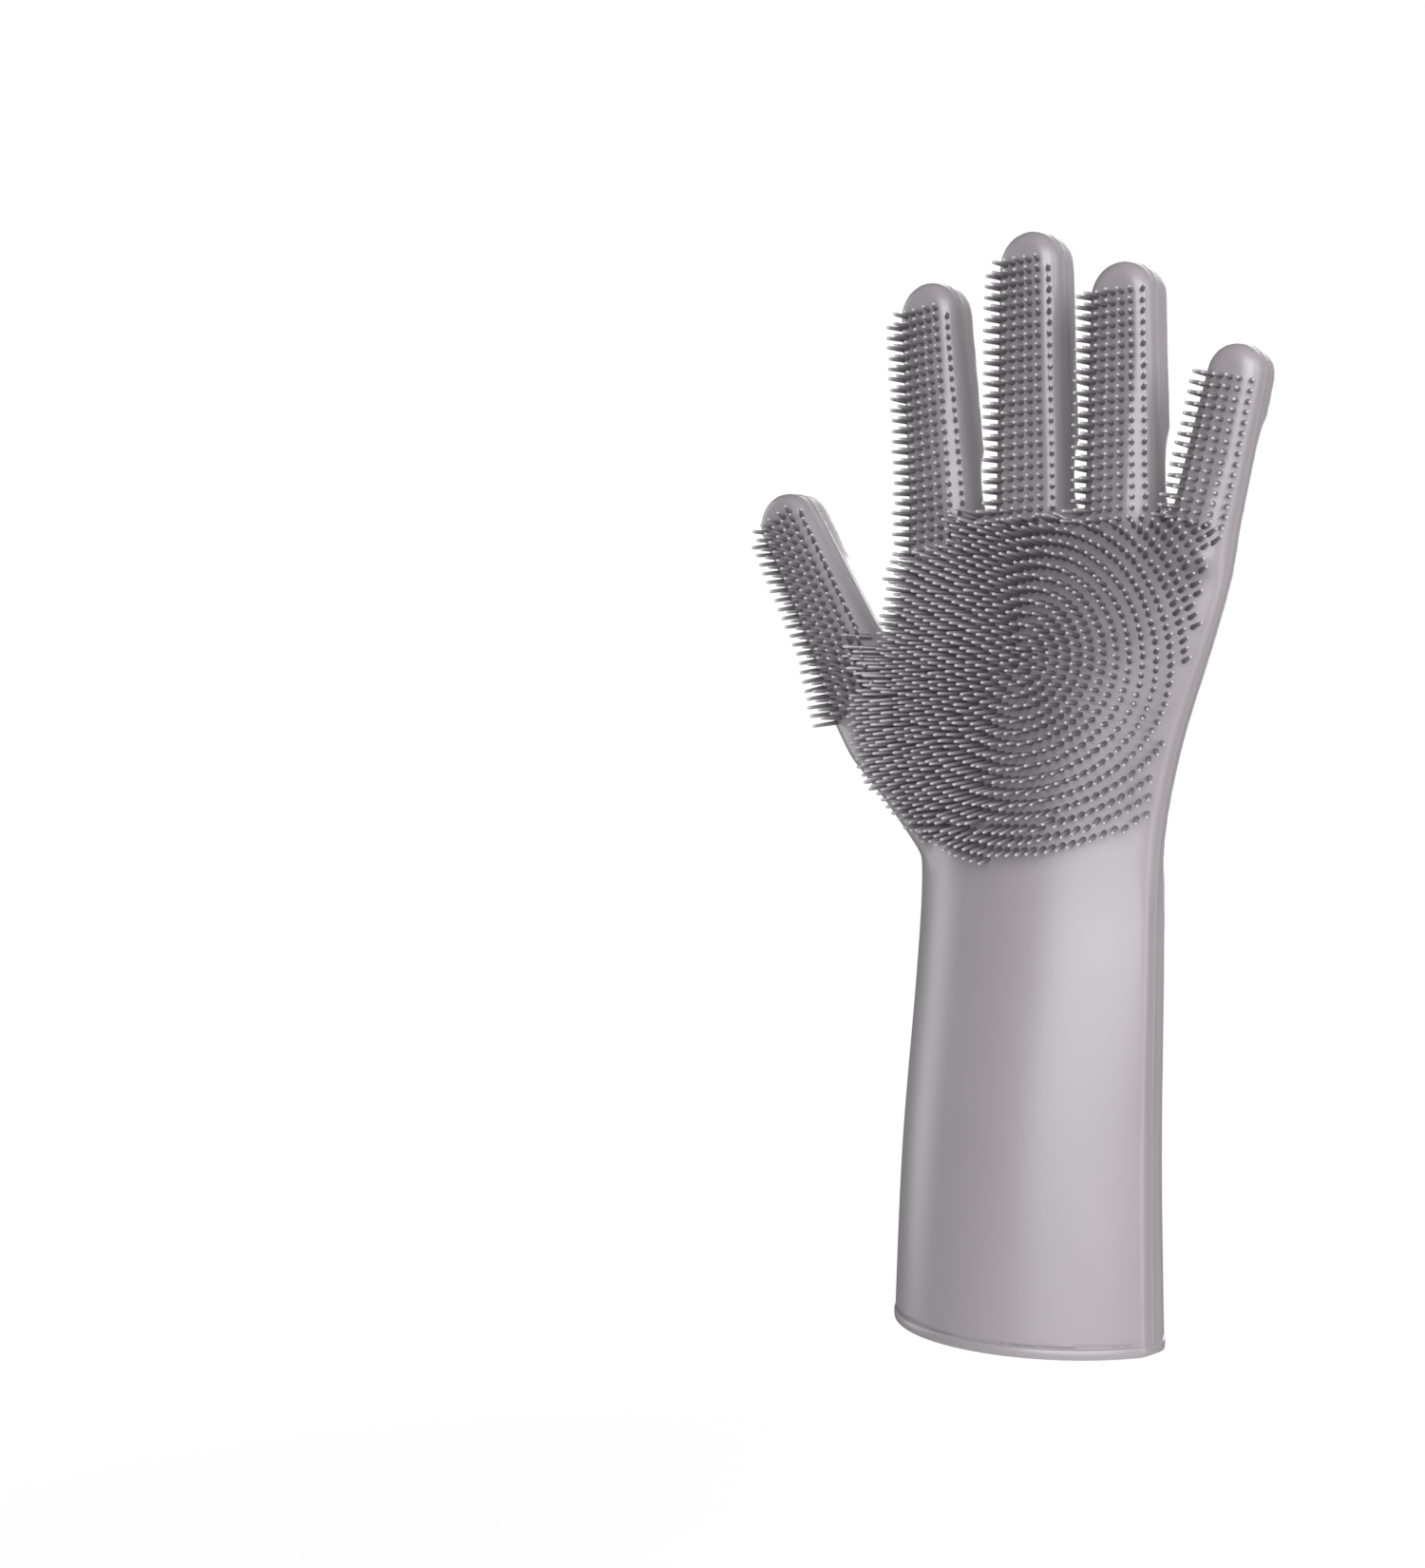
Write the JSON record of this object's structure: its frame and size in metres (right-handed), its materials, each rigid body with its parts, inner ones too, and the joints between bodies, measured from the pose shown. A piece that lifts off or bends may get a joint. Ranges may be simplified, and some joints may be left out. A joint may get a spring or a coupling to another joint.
{
  "type": "grooming glove",
  "caption": "Long one-piece silicone glove with soft bristles over the palm and fingers, for brushing a pet's coat or scrubbing, with a tab to hang it by",
  "frame": {"origin": "the centre of the gauntlet's mouth, in the plane of the rim", "axes": "+Z along the glove from the mouth to the fingertips, -Y out of the palm on the bristle side, +X towards the little finger"},
  "size_m": [0.1888, 0.0704, 0.3499],
  "materials": {
    "silicone": "satin"
  },
  "bodies": {
    "gauntlet_body": {"gauntlet": "silicone", "rim": "silicone", "hanging_tab": "silicone", "wrist_bend": "silicone", "heel_bristles": "silicone"},
    "hand_body": {"hand": "silicone", "palm_bristles": "silicone", "index_knuckle_bend": "silicone", "index_knuckle_bristles": "silicone", "middle_knuckle_bend": "silicone", "middle_knuckle_bristles": "silicone", "ring_knuckle_bend": "silicone", "ring_knuckle_bristles": "silicone", "little_knuckle_bend": "silicone", "little_knuckle_bristles": "silicone", "thumb_knuckle_bend": "silicone", "thumb_knuckle_bristles": "silicone"},
    "index_section_body": {"index_mid_section": "silicone", "index_section_bristles": "silicone", "index_joint_bend": "silicone", "index_joint_bristles": "silicone"},
    "index_tip_body": {"index_fingertip": "silicone", "index_tip_bristles": "silicone"},
    "middle_section_body": {"middle_mid_section": "silicone", "middle_section_bristles": "silicone", "middle_joint_bend": "silicone", "middle_joint_bristles": "silicone"},
    "middle_tip_body": {"middle_fingertip": "silicone", "middle_tip_bristles": "silicone"},
    "ring_section_body": {"ring_mid_section": "silicone", "ring_section_bristles": "silicone", "ring_joint_bend": "silicone", "ring_joint_bristles": "silicone"},
    "ring_tip_body": {"ring_fingertip": "silicone", "ring_tip_bristles": "silicone"},
    "little_section_body": {"little_mid_section": "silicone", "little_section_bristles": "silicone", "little_joint_bend": "silicone", "little_joint_bristles": "silicone"},
    "little_tip_body": {"little_fingertip": "silicone", "little_tip_bristles": "silicone"},
    "thumb_section_body": {"thumb_mid_section": "silicone", "thumb_section_bristles": "silicone", "thumb_joint_bend": "silicone", "thumb_joint_bristles": "silicone"},
    "thumb_tip_body": {"thumb_fingertip": "silicone", "thumb_tip_bristles": "silicone"}
  },
  "joints": [
    {"name": "wrist_hinge", "type": "hinge", "parent": "gauntlet_body", "child": "hand_body", "pos_m": [0.005, 0, 0.134], "axis": [1, 0, 0], "range_deg": [-35, 35], "stiffness_Nm_per_rad": 3, "deforming": ["wrist_bend", "heel_bristles"]},
    {"name": "index_knuckle_hinge", "type": "hinge", "parent": "hand_body", "child": "index_section_body", "pos_m": [-0.03002, -0.002, 0.26204], "axis": [0.9969, 0, 0.0785], "range_deg": [-12, 45], "stiffness_Nm_per_rad": 0.3, "deforming": ["index_knuckle_bend", "index_knuckle_bristles"]},
    {"name": "index_joint_hinge", "type": "hinge", "parent": "index_section_body", "child": "index_tip_body", "pos_m": [-0.03209, -0.002, 0.28834], "axis": [0.9969, 0, 0.0785], "range_deg": [0, 50], "stiffness_Nm_per_rad": 0.3, "deforming": ["index_joint_bend", "index_joint_bristles"]},
    {"name": "middle_knuckle_hinge", "type": "hinge", "parent": "hand_body", "child": "middle_section_body", "pos_m": [0.00446, -0.002, 0.26015], "axis": [1, 0, 0.0052], "range_deg": [-12, 45], "stiffness_Nm_per_rad": 0.3, "deforming": ["middle_knuckle_bend", "middle_knuckle_bristles"]},
    {"name": "middle_joint_hinge", "type": "hinge", "parent": "middle_section_body", "child": "middle_tip_body", "pos_m": [0.00429, -0.002, 0.2914], "axis": [1, 0, 0.0052], "range_deg": [0, 50], "stiffness_Nm_per_rad": 0.3, "deforming": ["middle_joint_bend", "middle_joint_bristles"]},
    {"name": "ring_knuckle_hinge", "type": "hinge", "parent": "hand_body", "child": "ring_section_body", "pos_m": [0.03654, -0.002, 0.25737], "axis": [1, 0, -0.0052], "range_deg": [-12, 45], "stiffness_Nm_per_rad": 0.3, "deforming": ["ring_knuckle_bend", "ring_knuckle_bristles"]},
    {"name": "ring_joint_hinge", "type": "hinge", "parent": "ring_section_body", "child": "ring_tip_body", "pos_m": [0.03668, -0.002, 0.28444], "axis": [1, 0, -0.0052], "range_deg": [0, 50], "stiffness_Nm_per_rad": 0.3, "deforming": ["ring_joint_bend", "ring_joint_bristles"]},
    {"name": "little_knuckle_hinge", "type": "hinge", "parent": "hand_body", "child": "little_section_body", "pos_m": [0.06648, -0.002, 0.25529], "axis": [0.9681, 0, -0.2504], "range_deg": [-10, 40], "stiffness_Nm_per_rad": 0.3, "deforming": ["little_knuckle_bend", "little_knuckle_bristles"]},
    {"name": "little_joint_hinge", "type": "hinge", "parent": "little_section_body", "child": "little_tip_body", "pos_m": [0.07055, -0.002, 0.27103], "axis": [0.9681, 0, -0.2504], "range_deg": [0, 40], "stiffness_Nm_per_rad": 0.3, "deforming": ["little_joint_bend", "little_joint_bristles"]},
    {"name": "thumb_knuckle_hinge", "type": "hinge", "parent": "hand_body", "child": "thumb_section_body", "pos_m": [-0.07245, -0.002, 0.21747], "axis": [0.866, 0, 0.5], "range_deg": [-12, 35], "stiffness_Nm_per_rad": 0.3, "deforming": ["thumb_knuckle_bend", "thumb_knuckle_bristles"]},
    {"name": "thumb_joint_hinge", "type": "hinge", "parent": "thumb_section_body", "child": "thumb_tip_body", "pos_m": [-0.08365, -0.002, 0.23688], "axis": [0.866, 0, 0.5], "range_deg": [0, 40], "stiffness_Nm_per_rad": 0.3, "deforming": ["thumb_joint_bend", "thumb_joint_bristles"]}
  ]
}
